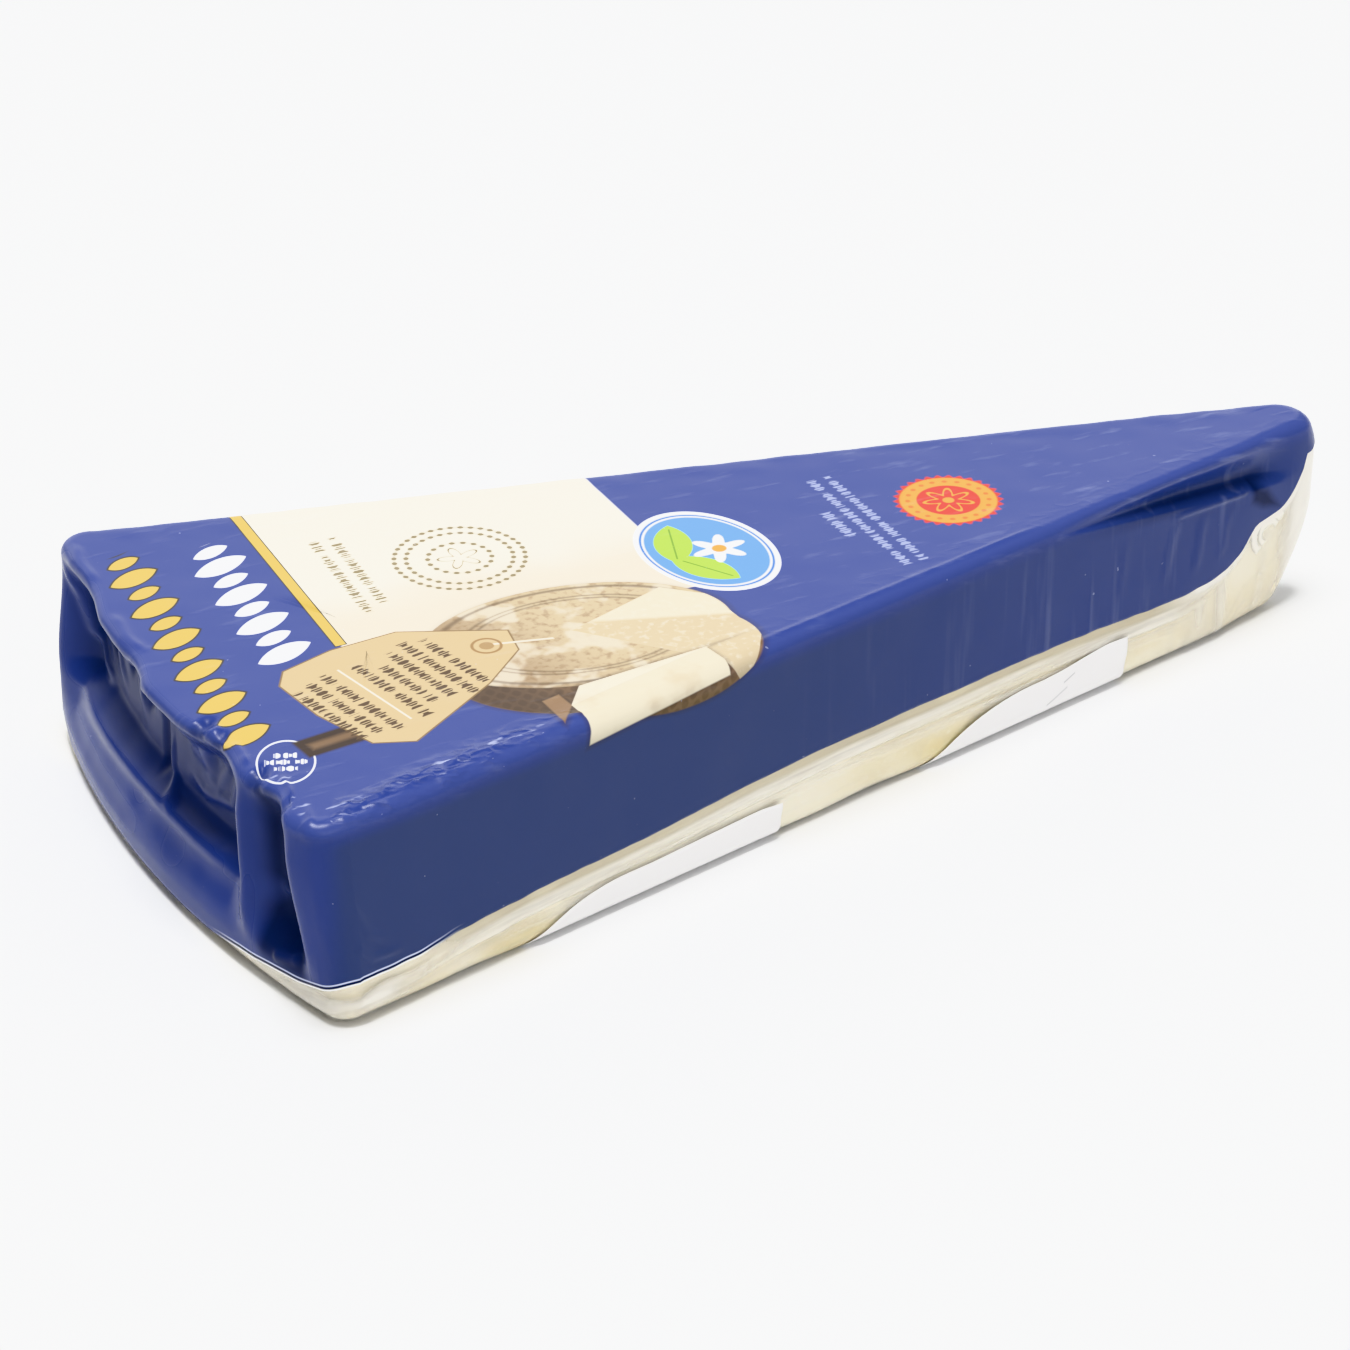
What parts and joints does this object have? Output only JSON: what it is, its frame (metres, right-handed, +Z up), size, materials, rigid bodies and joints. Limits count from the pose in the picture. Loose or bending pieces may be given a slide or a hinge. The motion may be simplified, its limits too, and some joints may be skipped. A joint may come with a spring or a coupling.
{
  "type": "vacuum-packed cheese wedge",
  "caption": "Long thin wedge of hard sheep's-milk cheese, vacuum packed in clear film with a blue printed film drawn down over its top and sides, lying on its side face.",
  "frame": {"origin": "middle of the pack's bounding box in plan, on the plane that it rests on", "axes": "+X along the wedge towards its narrow tip, +Y towards its back side, across the wide rind end, +Z up from the face it lies on"},
  "size_m": [0.179, 0.0872, 0.0299],
  "materials": {
    "cheese": "cream hard cheese under a glossy clear film",
    "printed_film": "glossy flexible film with a blue print, cream, gold and pale motifs",
    "label": "white self-adhesive paper with grey bars in place of words"
  },
  "bodies": {
    "root": {"cheese_in_clear_film": "cheese", "printed_film": "printed_film", "underside_label_rind": "label", "underside_label_tip": "label"}
  },
  "joints": []
}
